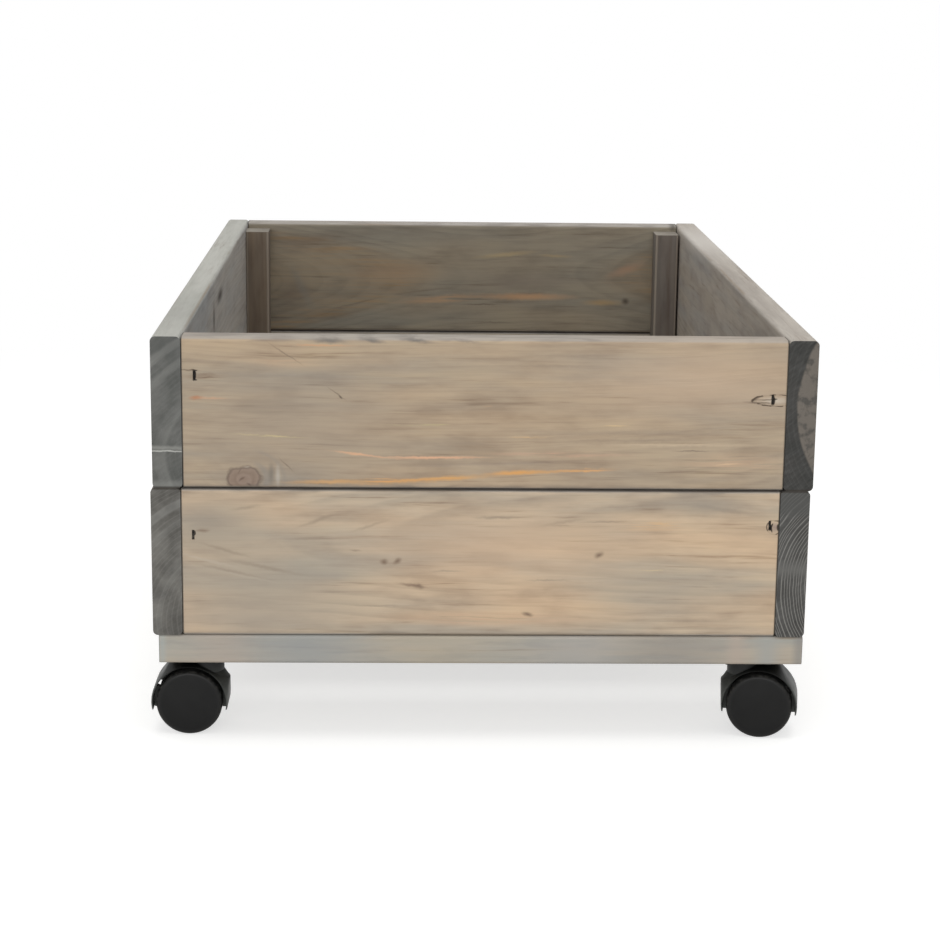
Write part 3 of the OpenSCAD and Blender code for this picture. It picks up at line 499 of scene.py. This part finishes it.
washed_pine(
    "upper_back_pine", "upper_back_end_board", ALONG_X, pith=(0.0433, 0.0007),
    lean=(0.066, -0.03), ring=0.0036, bow=0.75, heart=0.0475, inner=-1, shut=(-1,),
    butted=0.75, seed=7.7,
    tones=dict(end_tones, late="#85776A", line=0.22, soak=0.5, orange="#BF9A72"),
    marks=[
        # Patches and lines that its inner face shows
        ("smudge", -0.1438, -0.0126, 0.0212, 0.0200, 0.4, "#6A5C50"),
        ("smudge", -0.1280, 0.0316, 0.0329, 0.0060, 0.4, "#6E5A48", 9),
        ("smudge", -0.1367, -0.0084, 0.0307, 0.0060, 0.3, "#7A7A76", -65),
        ("smudge", -0.0573, 0.0045, 0.0554, 0.0140, 0.35, "#A58768", 1),
        ("smudge", 0.0536, -0.0032, 0.0720, 0.0100, 0.35, "#7A6D62"),
        ("smudge", 0.0361, 0.0205, 0.0360, 0.0030, 0.45, "#B09A6E", 6),
        ("smudge", 0.0787, 0.0197, 0.0196, 0.0020, 0.4, "#B09A6E", -2),
        ("smudge", 0.1394, 0.0082, 0.0234, 0.0060, 0.5, "#A88368", 21),
        ("resin", -0.0146, -0.0176, 0.0525, 0.0050, 0.6, "#B98F66", 4),
        ("smudge", 0.0552, -0.0154, 0.0541, 0.0045, 0.65, "#C0946A"),
        ("smudge", 0.1195, -0.0201, 0.0230, 0.0040, 0.5, "#B3925F"),
        ("smudge", -0.0928, -0.0227, 0.0388, 0.0012, 0.5, "#6E6254", 14),
        ("smudge", -0.0317, -0.0108, 0.0329, 0.0012, 0.5, "#6E6254", 7),
        ("smudge", 0.0168, -0.0223, 0.0229, 0.0010, 0.7, "#5E5348"),
        ("smudge", 0.0270, -0.0378, 0.0312, 0.0012, 0.5, "#625649"),
        ("smudge", 0.1397, -0.0190, 0.0048, 0.0045, 0.9, "#4A4037", -10),
        ("smudge", 0.1785, 0.0450, 0.0050, 0.0060, 0.8, "#55504A"),
    ])
washed_pine(
    "lower_back_pine", "lower_back_end_board", ALONG_X, pith=(0.05, 0.03),
    lean=(0.02, 0.03), ring=0.0033, heart=0.052, inner=-1, shut=(1,), butted=0.75, seed=9.2,
    tones=end_tones,
    knots=[(-0.08, 0.012, 0.0075, 1.3)],
    marks=[("smudge", 0.12, -0.02, 0.0045, 0.0025, 0.8, BROWN)])


# ---------- Side boards ----------
# The side boards are of the same planed pine and run the whole length of the box, so that
# their sawn ends show beside the end boards, at the front and at the back.

side_tones = dict(end_tones, early="#B3A18C", warm="#B9A58B", glow=0.5, inside="#EDF2F7",
                  smears=0.12, end_line=0.05)
ALONG_Y = (0, 0, math.pi / 2)
washed_pine(
    "upper_left_pine", "upper_left_side_board", ALONG_Y, pith=(-0.045, -0.032),
    lean=(0.0, 0.01), ring=0.0034, inner=-1, shut=(-1,), seed=12.5,
    tones=dict(side_tones, early="#BFB8AF", wash="#B0B0AE", warm="#C0B7AB", edge="#B5B5AE",
               edge_dim="#A8A8A0", end_line=0.03, end_band=0.55, inside="#F2F8FF"),
    knots=[(-0.05, -0.005, 0.008, 1.2)],
    marks=[
        # A pale scrape and cloudy patches on the front end
        ("hole", -0.300, -0.0235, 0.0015, 0.0005, 0.9, "#B4B4AF"),
        ("smudge", -0.300, -0.0215, 0.0015, 0.0022, 0.7, "#92928D"),
        ("smudge", -0.300, -0.0440, 0.0015, 0.0040, 0.5, "#8A8A86"),
        ("smudge", -0.300, 0.0400, 0.0015, 0.0120, 0.5, "#575856"),
        ("smudge", -0.200, 0.0460, 0.100, 0.0100, 0.3, "#8E8E88"),
        # Two dark marks on the face inside the box
        ("stain", -0.009, 0.0275, 0.038, 0.0075, 0.95, "#3A322D"),
        ("stain", -0.062, 0.0190, 0.015, 0.0160, 0.8, "#4A423B"),
    ])
washed_pine(
    "upper_right_pine", "upper_right_side_board", ALONG_Y, pith=(-0.0706, 0.0091),
    lean=(0.0, -0.01), ring=0.003, heart=0.0735, inner=1, shut=(-1,), seed=15.9,
    tones=dict(side_tones, early="#BBB0A3", wash="#ABA6A1", warm="#BEB1A2", resin=0.3,
               edge="#B8B1A7", edge_dim="#A0988F", inside="#F4F8FC", end="#383836",
               end_patch="#42413F", end_heart=0.85, end_band=0.0, end_line=0.03),
    knots=[(0.05, -0.022, 0.006, 1.3)],
    # Its top edge is palest towards the back
    marks=[("smudge", 0.180, 0.0460, 0.160, 0.0120, 0.8, "#CAC4BC")])
washed_pine(
    "lower_left_pine", "lower_left_side_board", ALONG_Y, pith=(-0.035, -0.040),
    lean=(0.02, 0.01), ring=0.0031, inner=-1, shut=(1,), seed=18.1,
    tones=dict(side_tones, end="#565450", end_patch="#74726D", end_line=0.1, end_band=0.34),
    knots=[(0.15, -0.015, 0.007, 1.3)],
    marks=[("smudge", -0.2, 0.02, 0.005, 0.0025, 0.8, BROWN)])
washed_pine(
    "lower_right_pine", "lower_right_side_board", ALONG_Y, pith=(-0.058, -0.020),
    lean=(0.012, 0.015), ring=0.0020, inner=1, shut=(1,), seed=21.4,
    tones=dict(side_tones, end="#454442", end_patch="#545351", end_line=0.5, end_band=0.0),
    knots=[(-0.11, 0.018, 0.0065, 1.25)],
    # The front end is darker at the top and paler in the middle
    marks=[("hole", -0.300, 0.044, 0.002, 0.016, 0.8, "#51514F"),
           ("smudge", -0.300, -0.003, 0.002, 0.0080, 0.8, "#6A6966")])


# ---------- Corner battens ----------
# A planed square batten stands in each inner corner. The boards are stapled to it, so it holds
# the two rings together. It ends a little below the rim.

batten_tones = dict(end_tones, early="#7B6D5E", late="#63564C", wash="#6E655B", warm="#7D6C59",
                    edge="#7A6F64", edge_dim="#6E645A", rubbed="#9A8F82", smear="#6B6157",
                    end="#8C857A", end_patch="#7B746A", end_band=0.2, worn=0.2)
grey_batten_tones = dict(batten_tones, early="#746C65", wash="#6A6763", warm="#766D64",
                         edge="#77726C")
UPRIGHT = (0, -math.pi / 2, 0)
CORNERS = ["front_left", "front_right", "back_left", "back_right"]
for count, corner in enumerate(CORNERS):
    tones = grey_batten_tones if corner == "back_right" else batten_tones
    washed_pine(corner + "_batten_pine", corner + "_batten", UPRIGHT, pith=(0.03, 0.012),
                lean=(0.015, 0.02), ring=0.0024, tones=tones, seed=25.0 + 3 * count)


# ---------- Base slats ----------
# Six wide slats lie across the base, with a gap between them that drains the box. The box is
# stapled down on them from below. Only the first one's front edge shows from in front.

slat_tones = dict(end_tones, early="#B8AE9E", late="#9E9486", wash="#A3A19B", warm="#BCAC96",
                  edge="#B8AE9F", edge_dim="#A3A49F", glow=0.6, line=0.35, smear="#8F8E8A",
                  smears=0.35, inside="#D9D7D3")
ACROSS = (math.pi / 2, 0, 0)
# The front edge of the first slat took the wash unevenly, from blue-grey to brown
front_edge_marks = [
    ("smudge", -0.110, 0.046, 0.060, 0.012, 0.7, "#999C9C"),
    ("smudge", -0.160, 0.046, 0.030, 0.012, 0.5, "#B0A398"),
    ("smudge", -0.030, 0.046, 0.050, 0.012, 0.5, "#B3A895"),
    ("smudge", 0.060, 0.046, 0.050, 0.012, 0.6, "#A8A6A3"),
    ("smudge", 0.120, 0.046, 0.055, 0.012, 0.6, "#97918A"),
    ("smudge", 0.157, 0.046, 0.010, 0.012, 0.7, "#B5A79A"),
    ("smudge", 0.176, 0.046, 0.012, 0.014, 0.8, "#A5A5A0"),
    ("smudge", 0.196, 0.046, 0.006, 0.012, 0.7, "#8E8C88"),
    ("smudge", -0.196, 0.046, 0.004, 0.012, 0.6, "#A9AEAB"),
]
# The slats were cut from different parts of the log, with its pith and knots here or there
slat_piths = [(0.026, -0.030), (0.041, 0.022), (-0.030, -0.009), (0.035, 0.048), (-0.024, 0.016),
              (0.052, -0.020)]
slat_knots = [[], [(-0.121, 0.014, 0.0070, 1.3)],
              [(0.062, -0.022, 0.0055, 1.2), (0.149, 0.026, 0.0040, 1.2)],
              [(-0.034, 0.006, 0.0068, 1.35)], [], [(0.108, -0.011, 0.0050, 1.25)]]
for count, (pith, knots) in enumerate(zip(slat_piths, slat_knots), start=1):
    washed_pine(f"slat_{count}_pine", f"base_slat_{count}", ACROSS, pith=pith,
                lean=(0.02, 0.015), ring=0.0033, tones=slat_tones, knots=knots, inner=1,
                seed=40.0 + 3.3 * count, marks=front_edge_marks if count == 1 else ())


# ---------- Staples ----------
# Drawn steel wire staples were shot in flush from outside. Their crowns lie just under the
# surface, where the wash has run into the slots, and are painted nearly black: wash, oxide and
# painted shade of the slots.

steel, tree, place = start_material("dull_steel_wire")
# Patches of rust and wash about 2 mm long on the drawn wire, which is painted dark with oxide and
# with painted shade of its slot
patch = add(tree, "TexNoise", {"Vector": place, "Scale": 420, "Detail": 3})
shade = add(tree, "ValToRGB", {"Fac": patch},
            stops=[(0.38, "#1F1B18"), (0.55, "#2E2A26"), (0.66, "#4A443D")])
matt = add(tree, "MapRange", {"Value": patch, "From Min": 0.38, "From Max": 0.66,
                              "To Min": 0.75, "To Max": 0.45})
bump = add(tree, "Bump", {"Height": patch, "Strength": 0.3, "Distance": 0.0001})
feed(tree, tree.nodes["Principled BSDF"], {
    "Base Color": shade, "Roughness": matt, "Normal": bump, "Metallic": 0.6})
for name in ["end_board_staples", "side_board_staples", "slat_staples"]:
    nodes[name].material_slots[0].material = steel


# ---------- Castor plates and screws ----------
# Each castor hangs from a thin square steel plate, dipped in black paint and held by four
# black woodscrews driven up into the outer slats.

black, tree, place = start_material("black_dipped_steel")
# Paint runs and dust about 6 mm across, over a fine orange peel of about 0.8 mm
dust = add(tree, "TexNoise", {"Vector": place, "Scale": 160, "Detail": 4})
peel = add(tree, "TexNoise", {"Vector": place, "Scale": 1200, "Detail": 1})
shade = add(tree, "ValToRGB", {"Fac": dust}, stops=[(0.4, "#141413"), (0.68, "#2B2A28")])
matt = add(tree, "MapRange", {"Value": dust, "From Min": 0.4, "From Max": 0.68,
                              "To Min": 0.35, "To Max": 0.7})
bump = add(tree, "Bump", {"Height": peel, "Strength": 0.3, "Distance": 0.00005})
feed(tree, tree.nodes["Principled BSDF"], {
    "Base Color": shade, "Roughness": matt, "Normal": bump, "Specular IOR Level": 0.3})
nodes["castor_screws"].material_slots[0].material = black
for corner in CORNERS:
    nodes[corner + "_castor_plate"].material_slots[0].material = black


# ---------- Kingpins, snap rings and axle pins ----------
# A kingpin is riveted into each plate, and a snap ring on it keeps the hood up. The wheels run
# on a plain pin. All three are turned steel with a thin zinc coat, which is bright but cloudy.

zinc, tree, place = start_material("zinc_plated_steel")
# Crystals of zinc about 1.5 mm across in clouds of 3 mm, and turning lines up the pin
spangle = add(tree, "TexVoronoi", {"Vector": place, "Scale": 650})
cloud = add(tree, "TexNoise", {"Vector": place, "Scale": 300, "Detail": 3})
shade = add(tree, "ValToRGB", {"Fac": cloud},
            stops=[(0.35, "#A9ABAA"), (0.55, "#BFC1C0"), (0.7, "#CCCDC9")])
matt = add(tree, "MapRange", {"Value": spangle.outputs["Distance"], "From Max": 0.9,
                              "To Min": 0.25, "To Max": 0.42})
turned = add(tree, "TexWave", {"Vector": place, "Scale": 400, "Distortion": 0.3},
             bands_direction="Z")
bump = add(tree, "Bump", {"Height": turned, "Strength": 0.2, "Distance": 0.00003})
feed(tree, tree.nodes["Principled BSDF"], {
    "Base Color": shade, "Roughness": matt, "Normal": bump, "Metallic": 1.0})
for corner in CORNERS:
    for part in ["kingpin", "snap_ring", "axle_pin"]:
        nodes[f"{corner}_{part}"].material_slots[0].material = zinc


# ---------- Castor hoods ----------
# One moulding of black nylon makes each hood: a drum over the two wheels, a tower for the
# kingpin and a slotted web. The mould was spark-eroded, so the skin is satin and catches light.

hood_nylon, tree, place = start_material("satin_black_nylon")
NYLON_IOR = 1.53
# The spark pits are about 0.1 mm; they are drawn at 0.5 mm, or they wouldn't show
pits = add(tree, "TexNoise", {"Vector": place, "Scale": 2000, "Detail": 1})
flow = add(tree, "TexNoise", {"Vector": place, "Scale": 90, "Detail": 3, "Distortion": 0.6})
shade = add(tree, "ValToRGB", {"Fac": flow}, stops=[(0.38, "#3F413E"), (0.65, "#4F514E")])
# The tower stands close under the slat, and is painted darker up its height: painted shade of the
# slat
SHADE_START, SHADE_FULL = 0.028, 0.044  # heights above the floor
height = add(tree, "SeparateXYZ", {0: place}).outputs["Z"]
tower = add(tree, "MapRange", {"Value": height, "From Min": SHADE_START, "From Max": SHADE_FULL})
shade = add(tree, "Mix", {"Factor": tower, "A": shade, "B": "#060706"}, data_type="RGBA")
matt = add(tree, "MapRange", {"Value": flow, "From Min": 0.35, "From Max": 0.65,
                              "To Min": 0.42, "To Max": 0.56})
bump = add(tree, "Bump", {"Height": pits, "Strength": 0.35, "Distance": 0.00006})
feed(tree, tree.nodes["Principled BSDF"], {
    "Base Color": shade, "Roughness": matt, "Normal": bump, "IOR": NYLON_IOR,
    "Specular IOR Level": 0.25})

# Each shell is its CAD node's own mesh, with its faces joined and shaded as one smooth skin
SAME_POINT = 2e-6  # corners of faces closer than this are one, in metres
ROUND_EDGE = math.radians(28)  # faces that meet at less than this are one smooth skin
for corner in CORNERS:
    node = corner + "_castor_hood"
    bm = bmesh.new()
    bm.from_mesh(nodes[node].data)
    bmesh.ops.remove_doubles(bm, verts=bm.verts[:], dist=SAME_POINT)
    for face in bm.faces:
        face.smooth = True
    for edge in bm.edges:
        edge.smooth = edge.is_manifold and edge.calc_face_angle() < ROUND_EDGE
    mesh = bpy.data.meshes.new(corner + "_hood_shell")
    bm.to_mesh(mesh)
    bm.free()
    for name in ["sharp_face", "custom_normal"]:
        if name in mesh.attributes:
            mesh.attributes.remove(mesh.attributes[name])
    mesh.materials.clear()
    mesh.materials.append(hood_nylon)
    shell = bpy.data.objects.new(corner + "_hood_shell", mesh)
    bpy.context.scene.collection.objects.link(shell)
    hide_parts(node)
    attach(shell, corner + "_swivel")


# ---------- Wheels ----------
# Two loose wheels turn on each axle pin, moulded from the same black nylon but polished on the
# face. Ribs stiffen them inside, and the tread is scuffed grey by the ground.

FLAT_FACE, ROUND_RIM = 0.0168, 0.0190  # radii between which the face rounds over
CLEAN, SCUFFED = 0.0188, 0.0197  # radii between which the tread's scuffs begin
FRONT_RIGHT_TURN = math.radians(-10)  # that castor stands turned, the others straight
for corner in CORNERS:
    turn = FRONT_RIGHT_TURN if corner == "front_right" else 0
    for part in ["outer_wheel", "inner_wheel"]:
        node = f"{corner}_{part}"
        low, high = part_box(node)
        material, tree, place = start_material(f"{node}_nylon")
        hub = add(tree, "Mapping", {"Vector": place, "Location": (low + high) / 2,
                                    "Rotation": (0, 0, turn), "Scale": (1, 1e4, 1)},
                  vector_type="TEXTURE")
        reach = add(tree, "VectorMath", {0: hub}, operation="LENGTH")
        tread = add(tree, "MapRange", {"Value": reach, "From Min": CLEAN, "From Max": SCUFFED})
        # Scuffs about 2.4 mm across on the tread; the skin has an orange peel of 0.6 mm
        scuff = add(tree, "TexNoise", {"Vector": place, "Scale": 420, "Detail": 4})
        scuff = add(tree, "MapRange", {"Value": scuff, "From Min": 0.45, "From Max": 0.7})
        worn = add(tree, "Math", {0: scuff, 1: tread}, operation="MULTIPLY")
        peel = add(tree, "TexNoise", {"Vector": place, "Scale": 1600, "Detail": 1})
        flow = add(tree, "TexNoise", {"Vector": place, "Scale": 70, "Detail": 2})
        shade = add(tree, "ValToRGB", {"Fac": flow}, stops=[(0.35, "#0D0D0D"), (0.65, "#131313")])
        # The rounded edge of the face is painted a little paler than the face: a painted highlight
        # along the rim
        edge = add(tree, "MapRange", {"Value": reach, "From Min": FLAT_FACE,
                                      "From Max": ROUND_RIM, "To Max": 0.55},
                   interpolation_type="SMOOTHSTEP")
        shade = add(tree, "Mix", {"Factor": edge, "A": shade, "B": "#222221"}, data_type="RGBA")
        shade = add(tree, "Mix", {"Factor": worn, "A": shade, "B": "#3A3936"}, data_type="RGBA")
        matt = add(tree, "MapRange", {"Value": scuff, "To Min": 0.36, "To Max": 0.48})
        matt = add(tree, "Math", {0: worn, 1: 0.25, 2: matt}, operation="MULTIPLY_ADD")
        bump = add(tree, "Bump", {"Height": peel, "Strength": 0.25, "Distance": 0.00005})
        feed(tree, tree.nodes["Principled BSDF"], {
            "Base Color": shade, "Roughness": matt, "Normal": bump, "IOR": NYLON_IOR,
            "Specular IOR Level": 0.16})
        nodes[node].material_slots[0].material = material


# ---------- Floor, light and camera ----------
# The planter stands on pale seamless paper, under plain soft studio light: a wide softbox in
# front, a softer one above, and an even glow from the room.

FLOOR_RADIUS = 4
bm = bmesh.new()
bmesh.ops.create_circle(bm, cap_ends=True, segments=96, radius=FLOOR_RADIUS)
mesh = bpy.data.meshes.new("floor")
bm.to_mesh(mesh)
bm.free()
floor = bpy.data.objects.new("floor", mesh)
bpy.context.scene.collection.objects.link(floor)


def seen_by_camera(tree):
    """1 for what the camera sees, straight, in a reflection or through something clear."""
    rays = add(tree, "LightPath").outputs
    seen = add(tree, "Math", {0: rays["Is Camera Ray"], 1: rays["Is Glossy Ray"]},
               operation="MAXIMUM")
    return add(tree, "Math", {0: seen, 1: rays["Is Transmission Ray"]}, operation="MAXIMUM")


# The paper glows a little to the camera, and wholly far off, so that only the shadow shows
LIFT = 0.62
NEAR, FAR = 0.5, 1.2  # metres from the planter between which the paper turns pure white
paper, tree, place = start_material("pale_paper")
surface = tree.nodes["Principled BSDF"]
feed(tree, surface, {"Base Color": "#C9C9C7", "Roughness": 0.9, "Specular IOR Level": 0.1})
seen = seen_by_camera(tree)
away = add(tree, "VectorMath", {0: place}, operation="LENGTH")
fade = add(tree, "MapRange", {"Value": away, "From Min": NEAR, "From Max": FAR},
           interpolation_type="SMOOTHSTEP")
fade = add(tree, "Math", {0: fade, 1: seen}, operation="MULTIPLY")
lift = add(tree, "Math", {0: seen, 1: LIFT}, operation="MULTIPLY")
glow = add(tree, "Emission", {"Color": "#FFFFFF", "Strength": lift})
lit = add(tree, "AddShader", {0: surface, 1: glow})
white = add(tree, "Emission", {"Color": "#FFFFFF", "Strength": 1.0})
mixed = add(tree, "MixShader", {0: fade, 1: lit, 2: white})
feed(tree, tree.nodes["Material Output"], {"Surface": mixed})
mesh.materials.append(paper)

ROOM_GLOW = 0.5
world = bpy.data.worlds.new("studio")
bpy.context.scene.world = world
world.use_nodes = True
tree = world.node_tree
ambient = tree.nodes["Background"]
feed(tree, ambient, {"Color": "#FFFFFF", "Strength": ROOM_GLOW})
backdrop = add(tree, "Background", {"Color": "#FFFFFF", "Strength": 1.0})
mixed = add(tree, "MixShader", {0: seen_by_camera(tree), 1: ambient, 2: backdrop})
feed(tree, tree.nodes["World Output"], {"Surface": mixed})


def softbox(name, place, target, size, power):
    """A rectangular lamp of a size in metres and a power in watts, turned to a target."""
    lamp = bpy.data.lights.new(name, "AREA")
    lamp.shape = "RECTANGLE"
    lamp.size, lamp.size_y = size
    lamp.energy = power
    item = bpy.data.objects.new(name, lamp)
    item.location = place
    item.rotation_euler = (Vector(target) - Vector(place)).to_track_quat("-Z", "Y").to_euler()
    bpy.context.scene.collection.objects.link(item)


softbox("front_light", (-0.4, -3.2, 0.9), (0, 0, 0.15), (2.4, 1.2), 36)
softbox("top_light", (0.0, -0.3, 2.6), (0, 0, 0.1), (2.0, 2.0), 30)

# The photograph's camera, which its straight edges gave: where it stood and how it was turned
FOCAL_PIXELS, PHOTO_PIXELS = 2257.7, 940
CAMERA_PLACE = (-0.04717, -1.62871, 0.47799)
YAW, PITCH, ROLL = math.radians(-1.69), math.radians(12.914), math.radians(-0.694)
camera = bpy.data.objects.new("camera", bpy.data.cameras.new("camera"))
bpy.context.scene.collection.objects.link(camera)
bpy.context.scene.camera = camera
camera.data.sensor_width = 36
camera.data.lens = FOCAL_PIXELS / PHOTO_PIXELS * camera.data.sensor_width
camera.data.clip_start, camera.data.clip_end = 0.05, 50
look = Matrix.Rotation(YAW, 3, "Z") @ Matrix.Rotation(-PITCH, 3, "X")
look = look @ Matrix.Rotation(ROLL, 3, "Y")
right, ahead, up = (look.col[i] for i in range(3))
turned = Matrix((right, up, -ahead)).transposed()
camera.matrix_world = Matrix.Translation(CAMERA_PLACE) @ turned.to_4x4()

bpy.context.scene.view_settings.view_transform = "Standard"
